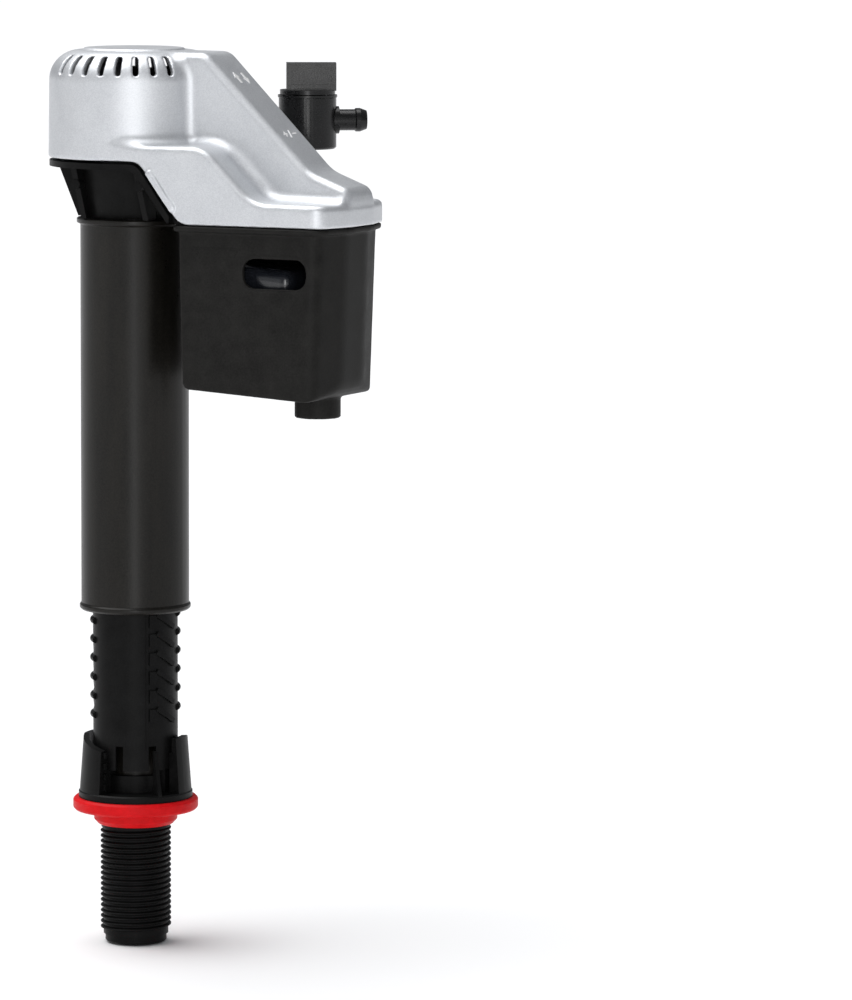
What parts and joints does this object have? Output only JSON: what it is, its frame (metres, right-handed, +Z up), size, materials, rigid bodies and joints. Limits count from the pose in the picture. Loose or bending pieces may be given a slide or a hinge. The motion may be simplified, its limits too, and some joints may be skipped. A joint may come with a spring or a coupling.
{
  "type": "toilet fill valve",
  "caption": "Telescoping toilet fill valve with a threaded shank, height ratchet, silver cover, float cup and refill nozzle.",
  "frame": {"origin": "on the axis of the water tube, in the plane of the tank floor, where the shank washer seats", "axes": "+Z up along the water tube, +X from the tube towards the float cup"},
  "size_m": [0.1147, 0.0783, 0.3005],
  "materials": {
    "black_plastic": "fine satin moulded texture",
    "silver_plastic": "satin silver metallic finish",
    "red_rubber": "satin red rubber",
    "seal_rubber": "soft matt seal rubber",
    "float_plastic": "smooth gloss",
    "white_acetal": "natural acetal",
    "steel_pin": "drawn stainless steel"
  },
  "bodies": {
    "base": {"shank_base": "black_plastic", "shank_washer": "red_rubber", "lower_riser": "black_plastic", "lower_sleeve": "black_plastic"},
    "head": {"valve_body": "black_plastic", "upper_riser": "black_plastic", "riser_orings": "seal_rubber", "debris_screen": "white_acetal", "diaphragm": "seal_rubber", "bonnet": "black_plastic", "bonnet_ring": "black_plastic", "lever_pin": "steel_pin", "float_cup": "black_plastic", "refill_housing": "black_plastic", "refill_port_oring": "seal_rubber"},
    "sleeve": {"outer_sleeve": "black_plastic"},
    "float_arm": {"float_lever": "black_plastic", "float_block": "float_plastic"},
    "plunger": {"seal_plunger": "white_acetal", "pilot_seal": "seal_rubber"},
    "core": {"diaphragm_core": "white_acetal"},
    "drain": {"drain_disc": "seal_rubber"},
    "knob": {"refill_knob": "black_plastic", "knob_oring": "seal_rubber"},
    "cover": {"cover": "silver_plastic"}
  },
  "joints": [
    {"name": "height_slide", "type": "slide", "parent": "base", "child": "head", "axis": [0, 0, 1], "range_m": [-0.0381, 0.0762]},
    {"name": "sleeve_twist", "type": "hinge", "parent": "head", "child": "sleeve", "pos_m": [0, 0, 0.13], "axis": [0, 0, 1], "range_deg": [-50, 0]},
    {"name": "float_lift", "type": "hinge", "parent": "head", "child": "float_arm", "pos_m": [0.015, 0, 0.2465], "axis": [0, -1, 0], "range_deg": [0, 5]},
    {"name": "pilot_slide", "type": "slide", "parent": "head", "child": "plunger", "axis": [0, 0, 1], "range_m": [-0.00131, 0]},
    {"name": "diaphragm_slide", "type": "slide", "parent": "head", "child": "core", "axis": [0, 0, 1], "range_m": [-0.0007, 0]},
    {"name": "drain_check", "type": "slide", "parent": "head", "child": "drain", "axis": [0, 0, 1], "range_m": [0, 0.0038]},
    {"name": "refill_turn", "type": "hinge", "parent": "head", "child": "knob", "pos_m": [0.0462, 0.0357, 0.24], "axis": [0, 0, 1], "range_deg": [0, 90]},
    {"name": "cover_lift", "type": "slide", "parent": "head", "child": "cover", "axis": [0, 0, 1], "range_m": [0, 0.06]}
  ],
  "couplings": [
    {"joint": "pilot_slide", "follows": "float_lift", "m_per_rad": -0.015},
    {"joint": "diaphragm_slide", "follows": "float_lift", "m_per_rad": -0.008}
  ]
}
